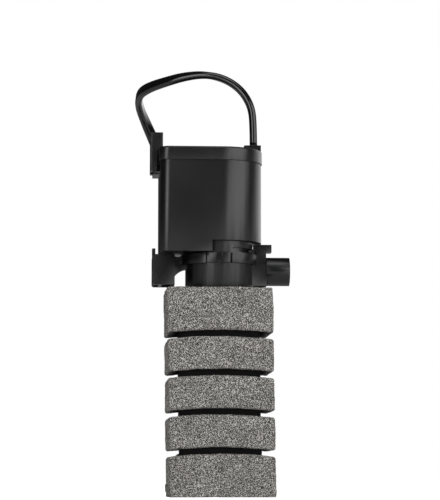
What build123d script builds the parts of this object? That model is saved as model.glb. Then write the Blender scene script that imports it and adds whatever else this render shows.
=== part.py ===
from build123d import *
import os
from math import degrees, pi, radians, sqrt, tan

os.makedirs("parts", exist_ok=True)

# Internal power filter, in millimetres. It stands on its sponge, the rotor turns on the Z axis,
# the outlet points along +X and the glass wall is on the -X side.

# Sponge
sponge_width = 45.0
sponge_depth = 40.0
sponge_height = 86.5
sponge_corner = 2.5
groove_count = 4
groove_pitch = 16.1
first_groove = 18.7  # middle of the lowest ring groove, above the base
groove_height = 2.7
groove_depth = 5.5
sponge_bore_clearance = 0.4  # round the strainer and under its cap
head_gap = 0.5  # between the sponge and the chamber floor

root_overlap = 0.5  # how far a rib or tab runs into the wall that carries it

# Pump chamber: a cup with a bayonet collar, the outlet and the lower cup holder
chamber_radius = 14.5
chamber_height = 10.0
chamber_wall = 1.6
collar_radius = 16.4
collar_height = 4.2
collar_gap = 0.4  # between the collar and the housing
turn_clearance = 0.2  # between the collar and the neck
grip_grooves = [(-111.2, 1.6), (-92.4, 2.3), (-76.2, 1.0)]  # angle and width
grip_depth = 1.2
inlet_radius = 4.6
hub_radius = 2.9
spoke_width = 1.2
stub_length = 4.0
stub_wall = 1.1
outlet_radius = 6.0
outlet_bore_radius = 4.7
outlet_rise = 7.6  # outlet axis above the chamber floor's underside
outlet_reach = 29.4
outlet_lead = 9.8  # length of the free pipe, in front of the boss and the finger tab
boss_width = 11.0
boss_height = 9.2
boss_rise = 1.2
passage_radius = 3.5
passage_rise = 6.0
tab_inner = 14.3
tab_thickness = 5.2
tab_width = 6.0
tab_height = 8.8
hook_reach = 2.3
hook_height = 3.2
web_width = 6.0
web_top = 11.4
web_root = 4.1  # lowest point of the web, where it meets the holder
web_tip = 8.4

# Cup holders: channels for the flat head of a suction cup
head_slot_width = 11.6
stem_slot_width = 6.4
holder_width = 14.6
lower_holder_reach = 28.5
lower_holder_depth = 9.3
lower_holder_rise = 1.4
lower_lip = 1.0
lower_slot_depth = 1.6
lower_back = 1.3
lower_cap = 1.5
lower_holder_round = 0.9
lug_thickness = 1.3
lug_width = 6.4
lug_height = 2.8
upper_holder_reach = 29.4
upper_holder_height = 16.4
upper_lip = 0.9
upper_slot_depth = 1.3
upper_back = 0.9
upper_holder_round = 0.6
hook_overlap = 2.1
holder_clearance = 0.3
holder_seat_gap = 0.1  # over the ledge
rail_clearance = 0.2  # beside the rail
rail_height = 5.0
rail_stem_width = 7.6
rail_head_width = 10.4
rail_head_thickness = 0.9
ledge_width = 13.0
ledge_height = 1.3

# Motor housing and lid
housing_radius = 17.6
housing_back = 25.6
housing_corner = 4.0
housing_height = 38.3
housing_wall = 2.0
notch_height = 4.7
notch_x = -4.0
neck_radius = 13.9
neck_drop = 3.6
neck_floor = 1.8
neck_pocket_radius = 11.4
slot_start = 14.0  # bayonet slots, from the outlet's direction
slot_end = 70.0
slot_depth = 1.2
slot_rise = 0.4
slot_height = 1.6
unlock_angle = 12.0
lug_angles = [-24.0, 60.0]
bayonet_lug_span = 8.0
bayonet_clearance = 0.2
entry_clearance = 1.0  # degrees, each side of a lug on its way in
bayonet_post = 1.2
lid_height = 5.6
lid_overhang = 0.4
lid_plate = 2.0
lid_round = 0.8
spigot_depth = 2.5
spigot_wall = 1.2
spigot_clearance = 0.15
boss_x = 14.6  # where the cord leaves the lid
boss_y = 2.5
cord_boss_length = 8.4
cord_boss_width = 10.5
cord_boss_height = 2.7
gland_wall = 0.5
gland_stand = 0.6
gland_depth = 5.0

# Rotor, shaft and bearings
well_radius = 5.9
well_wall = 1.1
well_end = 24.7  # above the housing's base
bush_radius = 4.0
bush_height = 2.0
bush_cover = 1.2
shaft_radius = 1.0
shaft_fit = 0.04
inlet_bush_wall = 1.0
magnet_radius = 5.3
magnet_length = 19.0
magnet_rise = 4.0
stem_radius = 2.6
stem_fit = 0.03
blade_count = 6
blade_radius = 10.5
blade_thickness = 1.0
impeller_rise = 0.8  # above the chamber floor
blade_height = 5.4
shroud_radius = 8.0
shroud_thickness = 1.0
washer_radius = 2.3
washer_thickness = 0.5
washer_gap = 0.15
gasket_width = 1.4
gasket_thickness = 0.7

# Stator and coil
core_rise = 7.4  # above the housing's base
stack_height = 13.0
core_back = 19.0
bar_width = 5.5
leg_outer = 12.5
leg_inner = 7.4
pole_start = -7.5
pole_inner = 3.5
pole_end = 6.0
pole_gap = 0.1
bobbin_fit = 0.15
bobbin_wall = 0.8
bobbin_end_gap = 0.1
winding_thickness = 3.0
flange_stand = 0.4
winding_round = 1.5
fuse_radius = 1.4
fuse_length = 8.0
terminal_radius = 0.35
terminal_length = 4.6
lead_radius = 0.9
lead_spacing = 1.9
lead_turn_z = 7.0
lead_bend = 3.0
lead_run = 12.0  # level stretch before the gland
lead_clearance = 0.5  # under the lid
potting_cover = 1.05  # over the terminal pins

# Strainer
strainer_radius = 7.0
strainer_wall = 1.2
strainer_length = 66.0
strainer_fit = 0.1
slot_columns = 8
slot_rows = 5
slot_width = 1.8
slot_length = 8.0
slot_row_pitch = 11.0
first_slot = 10.0  # middle of the lowest row, above the strainer's end
cap_thickness = 1.6
cap_spigot = 3.0

# Cord, hank and plug
cord_width = 5.2
cord_thickness = 3.2
hank_x = 5.0
hank_y = 72.0
hank_length = 98.0
hank_width = 46.0
hank_bundle = 15.0  # four turns of cord, standing on edge side by side
hank_height = 5.4
lead_in = 8.0
arc_share = 0.45  # of a corner's shorter run, taken by its arc
lane_inset = 1.8  # middle of the outermost turn, inside the hank's edge
tie_thickness = 0.5
tie_width = 5.0
tie_y = 13.0  # from the near end of the hank
plug_y = 54.0  # rear of the plug's body, from the near end of the hank
plug_length = 32.0
plug_width = 35.0
plug_rear_width = 14.0
plug_height = 14.0
plug_edge = 2.0
tail_length = 12.0
tail_radius = 3.4
tail_root_radius = 4.4
pin_radius = 2.0
pin_length = 19.0
pin_spacing = 18.6
pin_round = 0.8

# Levels, from the base up
chamber_z = sponge_height + head_gap
floor_z = chamber_z + chamber_wall
collar_z = chamber_z + chamber_height
collar_top = collar_z + collar_height
housing_z = collar_top + collar_gap
housing_top = housing_z + housing_height
notch_top = housing_z + notch_height
neck_z = housing_z - neck_drop
well_z = housing_z + well_end
well_top = well_z + bush_height + bush_cover
lid_top = housing_top + lid_height
cord_boss_top = lid_top + cord_boss_height
gland_top = cord_boss_top + gland_stand
core_z = housing_z + core_rise
strainer_z = chamber_z - strainer_length
cap_z = strainer_z - cap_thickness
outlet_z = chamber_z + outlet_rise
hank_top = tie_thickness + hank_height

# Fits that follow from the sizes above
collar_bore = neck_radius + turn_clearance
chamber_bore = chamber_radius - chamber_wall
lid_wall = housing_wall + spigot_clearance + spigot_wall
bore_radius = shaft_radius + shaft_fit
inlet_bush_radius = bore_radius + inlet_bush_wall
gland_width = cord_width + 2 * gland_wall
gland_thickness = cord_thickness + 2 * gland_wall


def head_outline(grow):
    """Plan of the motor housing: round at the outlet end, square with round corners at the other."""
    radius = housing_radius + grow
    length = housing_back + grow
    with BuildSketch() as outline:
        Circle(radius)
        with Locations((-length / 2, 0)):
            Rectangle(length, 2 * radius)
        fillet(outline.vertices().group_by(Axis.X)[0], housing_corner + grow)
    return outline.sketch


def ring_sector(inner, outer, start, end):
    """Part of a flat ring about the Z axis, between two angles in degrees."""
    with BuildSketch() as sector:
        with BuildLine():
            near = CenterArc((0, 0), inner, start, end - start)
            far = CenterArc((0, 0), outer, start, end - start)
            Line(near @ 0, far @ 0)
            Line(near @ 1, far @ 1)
        make_face()
    return sector.sketch


def motor_space(top):
    """The room inside the housing up to a level, all round the rotor's well."""
    floor = notch_top + housing_wall
    pocket_z = neck_z + neck_floor
    with BuildPart() as space:
        with BuildSketch(Plane.XY.offset(floor)):
            add(head_outline(-housing_wall))
        extrude(amount=top - floor)
        with BuildSketch(Plane.XY.offset(housing_z + housing_wall)):
            add(head_outline(-housing_wall))
            with Locations((notch_x - housing_wall, 0)):
                Rectangle(
                    2 * housing_back,
                    4 * housing_radius,
                    align=(Align.MIN, Align.CENTER),
                    mode=Mode.SUBTRACT,
                )
        extrude(amount=notch_height)
        with BuildSketch(Plane.XY.offset(pocket_z)):
            Circle(neck_pocket_radius)
        extrude(amount=floor - pocket_z)
        with BuildSketch(Plane.XY.offset(neck_z)):
            Circle(well_radius + well_wall)
        extrude(amount=well_top - neck_z, mode=Mode.SUBTRACT)
    return space.part


def slab(low, high, mode=Mode.ADD):
    """A block between two corners."""
    middle = tuple((a + b) / 2 for a, b in zip(low, high))
    with Locations(middle):
        Box(high[0] - low[0], high[1] - low[1], high[2] - low[2], mode=mode)


# Sponge, with a blind bore for the strainer
sponge_bore = strainer_radius + sponge_bore_clearance
with BuildPart() as filter_sponge:
    with BuildSketch():
        RectangleRounded(sponge_width, sponge_depth, sponge_corner)
    extrude(amount=sponge_height)
    for ring in range(groove_count):
        groove_z = first_groove + ring * groove_pitch - groove_height / 2
        with BuildSketch(Plane.XY.offset(groove_z)):
            Rectangle(2 * sponge_width, 2 * sponge_depth)
            RectangleRounded(
                sponge_width - 2 * groove_depth,
                sponge_depth - 2 * groove_depth,
                sponge_corner,
                mode=Mode.SUBTRACT,
            )
        extrude(amount=groove_height, mode=Mode.SUBTRACT)
    with BuildSketch(Plane.XY.offset(sponge_height)):
        Circle(sponge_bore)
    extrude(amount=cap_z - sponge_bore_clearance - sponge_height, mode=Mode.SUBTRACT)
filter_sponge.part.label = "filter_sponge"

# Strainer: a slotted tube over the chamber's inlet stub, closed by a pressed cap
strainer_bore = strainer_radius - strainer_wall
with BuildPart() as strainer_tube:
    with BuildSketch(Plane.XY.offset(strainer_z)):
        Circle(strainer_radius)
        Circle(strainer_bore, mode=Mode.SUBTRACT)
    extrude(amount=strainer_length)
    for row in range(slot_rows):
        with Locations((0, 0, strainer_z + first_slot + row * slot_row_pitch)):
            with PolarLocations(strainer_radius, slot_columns):
                Box(3 * strainer_wall, slot_width, slot_length, mode=Mode.SUBTRACT)
strainer_tube.part.label = "strainer_tube"

with BuildPart() as strainer_cap:
    with BuildSketch(Plane.XY.offset(cap_z)):
        Circle(strainer_radius)
    extrude(amount=cap_thickness)
    with BuildSketch(Plane.XY.offset(strainer_z)):
        Circle(strainer_bore - strainer_fit)
    extrude(amount=cap_spigot)
strainer_cap.part.label = "strainer_cap"

# Pump chamber
stub_radius = strainer_bore - strainer_fit
holder_back = lower_holder_reach - lower_holder_depth
holder_z = chamber_z + lower_holder_rise
slot_outer = lower_holder_reach - lower_lip
slot_inner = slot_outer - lower_slot_depth
core_outer = slot_inner - lower_back
with BuildPart() as pump_chamber:
    with BuildSketch(Plane.XY.offset(chamber_z)):
        Circle(chamber_radius)
    extrude(amount=chamber_height)
    with BuildSketch(Plane.XY.offset(collar_z)):
        Circle(collar_radius)
    extrude(amount=collar_height)
    # outlet: a square boss, then a round pipe
    outlet_root = outlet_reach - outlet_lead
    slab(
        (0, -boss_width / 2, chamber_z + boss_rise),
        (outlet_root, boss_width / 2, chamber_z + boss_rise + boss_height),
    )
    with BuildSketch(Plane.YZ.offset(outlet_root)):
        with Locations((0, outlet_z)):
            Circle(outlet_radius)
    extrude(amount=outlet_lead)
    # finger tab that turns the chamber
    tab_outer = tab_inner + tab_thickness
    tab_top = collar_z + tab_height
    slab((tab_inner, -tab_width / 2, collar_z), (tab_outer, tab_width / 2, tab_top))
    slab(
        (tab_outer, -tab_width / 2, tab_top - hook_height),
        (tab_outer + hook_reach, tab_width / 2, tab_top),
    )
    # lower cup holder and the curved web that carries it
    slab(
        (-lower_holder_reach, -holder_width / 2, holder_z),
        (-holder_back, holder_width / 2, collar_top),
    )
    fillet(pump_chamber.edges().filter_by(Axis.Y).group_by(Axis.X)[0], lower_holder_round)
    slab(
        (-lower_holder_reach, -lug_width / 2, collar_top - lower_cap),
        (-lower_holder_reach + lug_thickness, lug_width / 2, collar_top + lug_height),
    )
    with BuildSketch(Plane.XZ.offset(-web_width / 2)):
        with BuildLine():
            web_start = (-holder_back - root_overlap, chamber_z + web_root)
            web_finish = (-chamber_bore - root_overlap, chamber_z + web_tip)
            top_left = (-holder_back - root_overlap, chamber_z + web_top)
            top_right = (-chamber_bore - root_overlap, chamber_z + web_top)
            TangentArc(web_finish, web_start, tangent=(-1, 0))
            Polyline(web_start, top_left, top_right, web_finish)
        make_face()
    extrude(amount=web_width)
    # chamber and collar bores, and the water's way out
    with BuildSketch(Plane.XY.offset(floor_z)):
        Circle(chamber_bore)
    extrude(amount=collar_z - floor_z, mode=Mode.SUBTRACT)
    with BuildSketch(Plane.XY.offset(collar_z)):
        Circle(collar_bore)
    extrude(amount=tab_top - collar_z, mode=Mode.SUBTRACT)
    with BuildSketch(Plane.YZ.offset(chamber_bore - chamber_wall)):
        with Locations((0, chamber_z + passage_rise)):
            Circle(passage_radius)
    extrude(amount=outlet_root - chamber_bore + chamber_wall, mode=Mode.SUBTRACT)
    with BuildSketch(Plane.YZ.offset(outlet_root)):
        with Locations((0, outlet_z)):
            Circle(outlet_bore_radius)
    extrude(amount=outlet_lead, mode=Mode.SUBTRACT)
    # channel for a suction cup's head, and a cored back, both open below
    slab(
        (-slot_outer, -head_slot_width / 2, holder_z),
        (-slot_inner, head_slot_width / 2, collar_top - lower_cap),
        mode=Mode.SUBTRACT,
    )
    slab(
        (-lower_holder_reach, -stem_slot_width / 2, holder_z),
        (-slot_outer, stem_slot_width / 2, collar_top - lower_cap),
        mode=Mode.SUBTRACT,
    )
    slab(
        (-core_outer, -head_slot_width / 2, holder_z),
        (-holder_back - lower_cap, head_slot_width / 2, collar_top - lower_cap),
        mode=Mode.SUBTRACT,
    )
    # grip grooves, front and back
    for angle, width in grip_grooves:
        half = degrees(width / 2 / collar_radius)
        for side in (1, -1):
            with BuildSketch(Plane.XY.offset(collar_z)):
                add(
                    ring_sector(
                        collar_radius - grip_depth,
                        collar_radius + grip_depth,
                        side * angle - half,
                        side * angle + half,
                    )
                )
            extrude(amount=collar_height, mode=Mode.SUBTRACT)
    # inlet with three spokes round the bush, and the stub for the strainer
    with BuildSketch(Plane.XY.offset(chamber_z)):
        Circle(inlet_radius)
    extrude(amount=chamber_wall, mode=Mode.SUBTRACT)
    with BuildSketch(Plane.XY.offset(chamber_z)):
        Circle(hub_radius)
        with PolarLocations(inlet_radius / 2, 3):
            Rectangle(inlet_radius + 2 * root_overlap, spoke_width)
        Circle(inlet_bush_radius, mode=Mode.SUBTRACT)
    extrude(amount=chamber_wall)
    with BuildSketch(Plane.XY.offset(chamber_z - stub_length)):
        Circle(stub_radius)
        Circle(stub_radius - stub_wall, mode=Mode.SUBTRACT)
    extrude(amount=stub_length)
    # bayonet lugs on posts above the collar
    lug_z = housing_z + slot_rise + bayonet_clearance
    lug_end = housing_z + slot_rise + slot_height - bayonet_clearance
    for angle in lug_angles:
        first = angle - bayonet_lug_span / 2
        last = angle + bayonet_lug_span / 2
        with BuildSketch(Plane.XY.offset(collar_top)):
            add(ring_sector(collar_bore, collar_bore + bayonet_post, first, last))
        extrude(amount=lug_end - collar_top)
        with BuildSketch(Plane.XY.offset(lug_z)):
            lug_inner = neck_radius - slot_depth + bayonet_clearance
            add(ring_sector(lug_inner, collar_bore + bayonet_post, first, last))
        extrude(amount=lug_end - lug_z)
pump_chamber.part.label = "pump_chamber"

# Rubber bush in the chamber's hub
with BuildPart() as inlet_bush:
    with BuildSketch(Plane.XY.offset(chamber_z)):
        Circle(inlet_bush_radius)
        Circle(bore_radius, mode=Mode.SUBTRACT)
    extrude(amount=chamber_wall)
inlet_bush.part.label = "inlet_bush"

# Motor housing, with the neck, the bayonet slots and the rotor's well
rail_z = housing_top - rail_height
rail_top = housing_top - holder_clearance
rail_head = upper_holder_reach - upper_lip - holder_clearance / 2
with BuildPart() as motor_housing:
    with BuildSketch(Plane.XY.offset(housing_z)):
        add(head_outline(0))
    extrude(amount=housing_height)
    with BuildSketch(Plane.XY.offset(housing_z)):
        with Locations((notch_x, 0)):
            Rectangle(2 * housing_back, 4 * housing_radius, align=(Align.MIN, Align.CENTER))
        Circle(neck_radius, mode=Mode.SUBTRACT)
    extrude(amount=notch_height, mode=Mode.SUBTRACT)
    with BuildSketch(Plane.XY.offset(neck_z)):
        Circle(neck_radius)
    extrude(amount=neck_drop + notch_height)
    add(motor_space(housing_top), mode=Mode.SUBTRACT)
    with BuildSketch(Plane.XY.offset(neck_z)):
        Circle(well_radius)
    extrude(amount=well_z - neck_z, mode=Mode.SUBTRACT)
    with BuildSketch(Plane.XY.offset(well_z)):
        Circle(bush_radius)
    extrude(amount=bush_height, mode=Mode.SUBTRACT)
    for side in (1, -1):
        first = min(side * slot_start, side * slot_end)
        last = max(side * slot_start, side * slot_end)
        with BuildSketch(Plane.XY.offset(housing_z + slot_rise)):
            add(ring_sector(neck_radius - slot_depth, neck_radius + root_overlap, first, last))
        extrude(amount=slot_height, mode=Mode.SUBTRACT)
    for angle in lug_angles:
        entry = angle - unlock_angle
        half = bayonet_lug_span / 2 + entry_clearance
        way_in = (entry - half, entry + half)
        with BuildSketch(Plane.XY.offset(neck_z)):
            add(ring_sector(neck_radius - slot_depth, neck_radius + root_overlap, *way_in))
        extrude(amount=neck_drop + slot_rise, mode=Mode.SUBTRACT)
    # rail and ledge that carry the upper cup holder
    slab(
        (-rail_head + rail_head_thickness, -rail_stem_width / 2, rail_z),
        (-housing_back + root_overlap, rail_stem_width / 2, rail_top),
    )
    slab(
        (-rail_head, -rail_head_width / 2, rail_z),
        (-rail_head + rail_head_thickness, rail_head_width / 2, rail_top),
    )
    slab(
        (-rail_head, -ledge_width / 2, rail_z),
        (-housing_back + root_overlap, ledge_width / 2, rail_z + ledge_height),
    )
motor_housing.part.label = "motor_housing"

# Upper cup holder: slides up off the rail, and its top laps over the lid
upper_z = rail_z + ledge_height + holder_seat_gap
upper_top = upper_z + upper_holder_height
upper_slot_outer = upper_holder_reach - upper_lip
upper_slot_inner = upper_slot_outer - upper_slot_depth
upper_inner = upper_slot_inner - upper_back
with BuildPart() as upper_cup_holder:
    slab(
        (-upper_holder_reach, -holder_width / 2, upper_z),
        (-upper_inner, holder_width / 2, upper_top),
    )
    slab(
        (-upper_inner, -holder_width / 2, lid_top + holder_clearance),
        (-upper_inner + hook_overlap, holder_width / 2, upper_top),
    )
    fillet(upper_cup_holder.edges().filter_by(Axis.Z), upper_holder_round)
    slab(
        (-upper_slot_outer, -head_slot_width / 2, upper_z),
        (-upper_slot_inner, head_slot_width / 2, upper_top),
        mode=Mode.SUBTRACT,
    )
    slab(
        (-upper_holder_reach, -stem_slot_width / 2, upper_z),
        (-upper_slot_outer, stem_slot_width / 2, upper_top),
        mode=Mode.SUBTRACT,
    )
    slab(
        (-upper_slot_inner, -rail_stem_width / 2 - rail_clearance, upper_z),
        (-upper_inner, rail_stem_width / 2 + rail_clearance, rail_top + holder_clearance),
        mode=Mode.SUBTRACT,
    )
upper_cup_holder.part.label = "upper_cup_holder"

# Lid, with a spigot into the housing and a raised boss for the cord
with BuildPart() as housing_lid:
    with BuildSketch(Plane.XY.offset(housing_top)):
        add(head_outline(lid_overhang))
    extrude(amount=lid_height)
    rim = housing_lid.faces().sort_by(Axis.Z)[-1].outer_wire().edges()
    fillet(rim, lid_round)
    with BuildSketch(Plane.XY.offset(housing_top - spigot_depth)):
        add(head_outline(-housing_wall - spigot_clearance))
    extrude(amount=spigot_depth)
    with BuildSketch(Plane.XY.offset(housing_top - spigot_depth)):
        add(head_outline(-lid_wall))
    extrude(amount=spigot_depth + lid_height - lid_plate, mode=Mode.SUBTRACT)
    with BuildSketch(Plane.XY.offset(lid_top - lid_plate / 2)):
        add(head_outline(0))
        with Locations((boss_x, boss_y)):
            Rectangle(cord_boss_length, cord_boss_width, mode=Mode.INTERSECT)
    extrude(amount=lid_plate / 2 + cord_boss_height)
    with BuildSketch(Plane.XY.offset(cord_boss_top)):
        with Locations((boss_x, boss_y)):
            SlotOverall(gland_width, gland_thickness, rotation=90)
    extrude(amount=-cord_boss_height - gland_depth, mode=Mode.SUBTRACT)
housing_lid.part.label = "housing_lid"

# Rubber gland, moulded round the cord in the lid
with BuildPart() as cord_gland:
    with BuildSketch(Plane.XY.offset(gland_top)):
        with Locations((boss_x, boss_y)):
            SlotOverall(gland_width, gland_thickness, rotation=90)
    extrude(amount=-gland_stand - cord_boss_height - gland_depth)
cord_gland.part.label = "cord_gland"

# Stator: a stack of C-shaped laminations round the well
core_front = -core_back + bar_width
with BuildPart() as stator_core:
    with BuildSketch(Plane.XY.offset(core_z)):
        with Locations((-core_back, 0)):
            Rectangle(
                core_back + pole_end, 2 * leg_outer, align=(Align.MIN, Align.CENTER)
            )
        with Locations((core_front, 0)):
            Rectangle(
                pole_start - core_front,
                2 * leg_inner,
                align=(Align.MIN, Align.CENTER),
                mode=Mode.SUBTRACT,
            )
        with Locations((pole_start, 0)):
            Rectangle(
                pole_end - pole_start,
                2 * pole_inner,
                align=(Align.MIN, Align.CENTER),
                mode=Mode.SUBTRACT,
            )
        Circle(well_radius + well_wall + pole_gap, mode=Mode.SUBTRACT)
    extrude(amount=stack_height)
stator_core.part.label = "stator_core"

# Coil: the bobbin and its winding lie round the core's back bar
bar_x = -core_back + bar_width / 2
bar_z = core_z + stack_height / 2
bobbin_half = leg_inner - bobbin_end_gap
flange_y = bobbin_half - bobbin_wall
tube_x = bar_width + 2 * bobbin_fit
tube_z = stack_height + 2 * bobbin_fit
wound_x = tube_x + 2 * bobbin_wall
wound_z = tube_z + 2 * bobbin_wall
coil_x = wound_x + 2 * winding_thickness
coil_z = wound_z + 2 * winding_thickness
with BuildPart() as coil_bobbin:
    with BuildSketch(Plane.XZ.offset(-bobbin_half)):
        with Locations((bar_x, bar_z)):
            Rectangle(wound_x, wound_z)
    extrude(amount=2 * bobbin_half)
    for flange_start in (-bobbin_half, flange_y):
        with BuildSketch(Plane.XZ.offset(flange_start)):
            with Locations((bar_x, bar_z)):
                RectangleRounded(
                    coil_x + 2 * flange_stand, coil_z + 2 * flange_stand, winding_round
                )
        extrude(amount=bobbin_wall)
    with BuildSketch(Plane.XZ.offset(-bobbin_half)):
        with Locations((bar_x, bar_z)):
            Rectangle(tube_x, tube_z)
    extrude(amount=2 * bobbin_half, mode=Mode.SUBTRACT)
coil_bobbin.part.label = "coil_bobbin"

with BuildPart() as coil_winding:
    with BuildSketch(Plane.XZ.offset(-flange_y)):
        with Locations((bar_x, bar_z)):
            RectangleRounded(coil_x, coil_z, winding_round)
            Rectangle(wound_x, wound_z, mode=Mode.SUBTRACT)
    extrude(amount=2 * flange_y)
coil_winding.part.label = "coil_winding"

# Thermal fuse, laid on the winding
fuse_z = bar_z + coil_z / 2 + fuse_radius
with BuildPart() as thermal_fuse:
    with BuildSketch(Plane.XZ.offset(-fuse_length / 2)):
        with Locations((bar_x, fuse_z)):
            Circle(fuse_radius)
    extrude(amount=fuse_length)
thermal_fuse.part.label = "thermal_fuse"

# Terminal pins in the bobbin's flanges, and the two leads from them to the gland
flange_top = bar_z + coil_z / 2 + flange_stand
flange_middle = bobbin_half - bobbin_wall / 2
terminal_top = flange_top + terminal_length
with BuildPart() as coil_terminals:
    with BuildSketch(Plane.XY.offset(flange_top)):
        with Locations((bar_x, -flange_middle), (bar_x, flange_middle)):
            Circle(terminal_radius)
    extrude(amount=terminal_length)
coil_terminals.part.label = "coil_terminals"

lead_end_x = boss_x - gland_thickness / 2
lead_end_z = lid_top - lid_plate - lead_radius - lead_clearance
with BuildPart() as lead_wires:
    for side in (-1, 1):
        lead_y = boss_y + side * lead_spacing / 2
        with BuildLine() as lead_path:
            FilletPolyline(
                (bar_x, side * flange_middle, terminal_top),
                (bar_x, side * flange_middle, terminal_top + lead_turn_z),
                (lead_end_x - lead_run, lead_y, lead_end_z),
                (lead_end_x, lead_y, lead_end_z),
                radius=lead_bend,
            )
        with BuildSketch(Plane(lead_path.line @ 0, z_dir=lead_path.line % 0)):
            Circle(lead_radius)
        sweep(path=lead_path.line)
lead_wires.part.label = "lead_wires"

# Potting resin, poured round the core and the coil
with BuildPart() as potting_resin:
    add(motor_space(terminal_top + potting_cover))
    for bedded in (stator_core, coil_bobbin, coil_winding, thermal_fuse, coil_terminals, lead_wires):
        add(bedded.part, mode=Mode.SUBTRACT)
potting_resin.part.label = "potting_resin"

# Shaft and its bush at the blind end of the well
with BuildPart() as well_bush:
    with BuildSketch(Plane.XY.offset(well_z)):
        Circle(bush_radius)
        Circle(shaft_radius, mode=Mode.SUBTRACT)
    extrude(amount=bush_height)
well_bush.part.label = "well_bush"

shaft_z = chamber_z + shaft_fit
with BuildPart() as rotor_shaft:
    with BuildSketch(Plane.XY.offset(shaft_z)):
        Circle(shaft_radius)
    extrude(amount=well_z + bush_height - shaft_fit - shaft_z)
rotor_shaft.part.label = "rotor_shaft"

# Flat gasket between the neck and the chamber's step
with BuildPart() as chamber_gasket:
    with BuildSketch(Plane.XY.offset(neck_z - gasket_thickness)):
        Circle(neck_radius - slot_depth)
        Circle(neck_radius - slot_depth - gasket_width, mode=Mode.SUBTRACT)
    extrude(amount=gasket_thickness)
chamber_gasket.part.label = "chamber_gasket"

# Impeller: straight blades, a shroud and the stem that carries the magnet
impeller_z = floor_z + impeller_rise
shroud_z = impeller_z + blade_height
magnet_z = housing_z + magnet_rise
stem_top = well_z - washer_thickness - 2 * washer_gap
with BuildPart() as impeller:
    with BuildSketch(Plane.XY.offset(impeller_z)):
        with PolarLocations(blade_radius / 2, blade_count):
            Rectangle(blade_radius, blade_thickness)
        Circle(stem_radius)
    extrude(amount=blade_height)
    with BuildSketch(Plane.XY.offset(shroud_z)):
        Circle(shroud_radius)
    extrude(amount=shroud_thickness)
    with BuildSketch(Plane.XY.offset(shroud_z)):
        Circle(stem_radius)
    extrude(amount=stem_top - shroud_z)
    with BuildSketch(Plane.XY.offset(impeller_z)):
        Circle(bore_radius)
    extrude(amount=stem_top - impeller_z, mode=Mode.SUBTRACT)
impeller.part.label = "impeller"

with BuildPart() as rotor_magnet:
    with BuildSketch(Plane.XY.offset(magnet_z)):
        Circle(magnet_radius)
        Circle(stem_radius + stem_fit, mode=Mode.SUBTRACT)
    extrude(amount=magnet_length)
rotor_magnet.part.label = "rotor_magnet"

with BuildPart() as thrust_washers:
    for washer_z in (impeller_z - washer_gap - washer_thickness, stem_top + washer_gap):
        with BuildSketch(Plane.XY.offset(washer_z)):
            Circle(washer_radius)
            Circle(bore_radius, mode=Mode.SUBTRACT)
        extrude(amount=washer_thickness)
thrust_washers.part.label = "thrust_washers"

# Cord: a round tube of the flat cord's own section area, from the gland to the hank
section_area = cord_thickness * (cord_width - cord_thickness) + pi * cord_thickness**2 / 4
cord_radius = sqrt(section_area / pi)
lane_x = hank_x - hank_width / 2 + lane_inset
floor_run_z = tie_thickness + hank_height / 2
cord_points = [
    (boss_x, boss_y, gland_top),
    (boss_x, boss_y, 157.0),
    (13.9, 2.7, 165.5),
    (9.7, 3.8, 173.0),
    (2.8, 5.0, 178.0),
    (-5.7, 6.5, 180.2),
    (-14.5, 8.8, 179.6),
    (-22.8, 12.6, 177.8),
    (-29.6, 18.6, 176.4),
    (-33.6, 27.0, 175.0),
    (-33.6, 37.0, 171.5),
    (-29.6, 45.5, 164.0),
    (-24.0, 50.0, 152.5),
    (-17.5, 50.5, 137.5),
    (-10.5, 47.0, 119.5),
    (-7.0, 42.5, 99.5),
    (-7.0, 38.5, 77.5),
    (-9.0, 36.0, 55.0),
    (-12.0, 36.2, 35.5),
    (-14.6, 40.5, 18.5),
    (lane_x, 48.5, 7.0),
    (lane_x, 56.5, floor_run_z),
    (lane_x, hank_y - lead_in, floor_run_z),
]


def corner_radii(points):
    """The radius at each corner: a share of its shorter run, over the tangent of half its turn."""
    radii = []
    for before, here, after in zip(points, points[1:], points[2:]):
        arriving = Vector(*here) - Vector(*before)
        leaving = Vector(*after) - Vector(*here)
        half_turn = radians(arriving.get_angle(leaving)) / 2
        radii.append(arc_share * min(arriving.length, leaving.length) / tan(half_turn))
    return radii


cord_radii = corner_radii(cord_points)
with BuildPart() as power_cord:
    with BuildLine() as cord_path:
        FilletPolyline(*cord_points, radius=cord_radii)
    with BuildSketch(Plane(cord_path.line @ 0, z_dir=cord_path.line % 0)):
        Circle(cord_radius)
    sweep(path=cord_path.line)
power_cord.part.label = "power_cord"
tube_length = cord_path.wires()[0].length

# Hank: the outer shape of the folded turns, with the incoming end of the cord
hank_middle = hank_y + hank_length / 2
with BuildPart() as cord_hank:
    with BuildSketch(Plane.XY.offset(tie_thickness)):
        with Locations((hank_x, hank_middle)):
            SlotOverall(hank_length, hank_width, rotation=90)
            SlotOverall(
                hank_length - 2 * hank_bundle,
                hank_width - 2 * hank_bundle,
                rotation=90,
                mode=Mode.SUBTRACT,
            )
    extrude(amount=hank_height)
    slab(
        (lane_x - cord_thickness / 2, hank_y - lead_in, tie_thickness),
        (lane_x + cord_thickness / 2, hank_y + hank_width / 2, hank_top),
    )
cord_hank.part.label = "cord_hank"

with BuildPart() as hank_tie:
    with BuildSketch(Plane.XZ.offset(-hank_y - tie_y)):
        with Locations((hank_x, tie_thickness + hank_height / 2)):
            Rectangle(hank_width + 2 * tie_thickness, hank_height + 2 * tie_thickness)
            Rectangle(hank_width, hank_height, mode=Mode.SUBTRACT)
    extrude(amount=-tie_width)
hank_tie.part.label = "hank_tie"

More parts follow.
